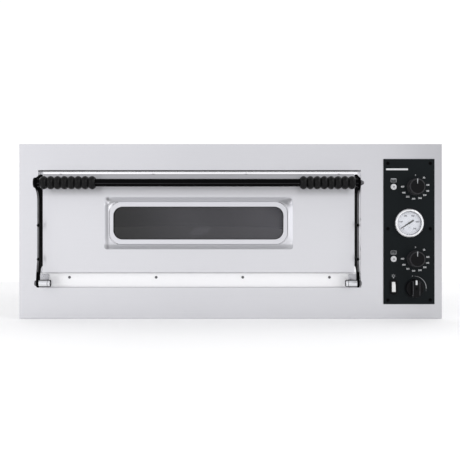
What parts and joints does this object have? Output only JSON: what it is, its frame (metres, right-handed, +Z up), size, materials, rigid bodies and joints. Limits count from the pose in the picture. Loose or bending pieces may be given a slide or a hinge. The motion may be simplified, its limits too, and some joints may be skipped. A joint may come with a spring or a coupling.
{
  "type": "deck oven",
  "caption": "Single-deck electric bakery oven: steel casing, drop-down glazed door with a ribbed bar handle on side arms, stone hearth, and a black control panel to the right.",
  "frame": {"origin": "bottom centre of the whole oven's box, on the surface it stands on", "axes": "+Z up, the door and control panel face -Y, +X to the right as seen from the front"},
  "size_m": [1, 0.8649, 0.413],
  "materials": {
    "stainless_steel": "satin",
    "bright_stainless": "satin",
    "galvanised_steel": "satin",
    "chamber_steel": "satin",
    "chromed_steel": "polished",
    "black_steel": "satin",
    "panel_black": "satin",
    "black_plastic": "satin",
    "black_grip": "matte",
    "white_plastic": "satin",
    "window_glass": "gloss",
    "clear_glass": "gloss",
    "hearth_stone": "matte",
    "mineral_wool": "matte",
    "rope_seal": "matte",
    "element_steel": "matte",
    "dial_white": "matte"
  },
  "bodies": {
    "casing": {"front_panel": "stainless_steel", "left_side_panel": "stainless_steel", "right_side_panel": "stainless_steel", "top_cover": "stainless_steel", "base_pan": "galvanised_steel", "rear_panel": "galvanised_steel", "compartment_wall": "galvanised_steel", "chamber_front_frame": "bright_stainless", "sill_plate": "bright_stainless", "chamber_shell": "chamber_steel", "hearth_frame": "chamber_steel", "hearth_stone_left": "hearth_stone", "hearth_stone_right": "hearth_stone", "upper_element_left": "element_steel", "upper_element_right": "element_steel", "lower_element_left": "element_steel", "lower_element_right": "element_steel", "insulation_wrap": "mineral_wool", "insulation_rear": "mineral_wool", "flue_pipe": "galvanised_steel", "lamp_housing": "galvanised_steel", "lamp_glass": "clear_glass", "lamp_bulb": "clear_glass", "left_hinge_bracket": "chromed_steel", "right_hinge_bracket": "chromed_steel", "left_hinge_pin": "chromed_steel", "right_hinge_pin": "chromed_steel", "control_panel": "panel_black", "upper_thermostat_body": "black_plastic", "lower_thermostat_body": "black_plastic", "main_switch_body": "black_plastic", "upper_indicator": "white_plastic", "lower_indicator": "white_plastic", "gauge_case": "chromed_steel", "gauge_lens": "clear_glass", "gauge_dial": "dial_white", "rocker_housing": "black_plastic", "terminal_block": "white_plastic", "cable_gland": "black_plastic"},
    "door": {"door_outer_skin": "stainless_steel", "door_inner_liner": "chamber_steel", "door_insulation": "mineral_wool", "door_seal": "rope_seal", "window_frame": "stainless_steel", "window_outer_glass": "window_glass", "window_tunnel": "chamber_steel", "window_inner_glass": "clear_glass", "left_arm": "black_steel", "right_arm": "black_steel", "handle_tube": "black_steel", "handle_rod": "black_steel", "left_grip": "black_grip", "right_grip": "black_grip", "handle_end_cap": "black_plastic"},
    "upper_knob": {"upper_thermostat_knob": "black_plastic"},
    "lower_knob": {"lower_thermostat_knob": "black_plastic"},
    "switch_knob": {"main_switch_knob": "black_plastic"},
    "rocker": {"light_rocker": "white_plastic"},
    "needle": {"gauge_needle": "black_steel"}
  },
  "joints": [
    {"name": "door_hinge", "type": "hinge", "parent": "casing", "child": "door", "pos_m": [-0.0755, -0.40235, 0.086], "axis": [1, 0, 0], "range_deg": [0, 90]},
    {"name": "upper_thermostat_turn", "type": "hinge", "parent": "casing", "child": "upper_knob", "pos_m": [0.4356, -0.38, 0.3115], "axis": [0, 1, 0], "range_deg": [0, 270]},
    {"name": "lower_thermostat_turn", "type": "hinge", "parent": "casing", "child": "lower_knob", "pos_m": [0.4356, -0.38, 0.1413], "axis": [0, 1, 0], "range_deg": [0, 270]},
    {"name": "main_switch_turn", "type": "hinge", "parent": "casing", "child": "switch_knob", "pos_m": [0.4334, -0.38, 0.0725], "axis": [0, 1, 0], "range_deg": [0, 90]},
    {"name": "light_rocker_tilt", "type": "hinge", "parent": "casing", "child": "rocker", "pos_m": [0.3846, -0.37135, 0.075], "axis": [1, 0, 0], "range_deg": [0, 20]},
    {"name": "gauge_needle_sweep", "type": "hinge", "parent": "casing", "child": "needle", "pos_m": [0.4212, -0.37, 0.226], "axis": [0, 1, 0], "range_deg": [-12, 258], "stiffness_Nm_per_rad": 0.0002}
  ]
}
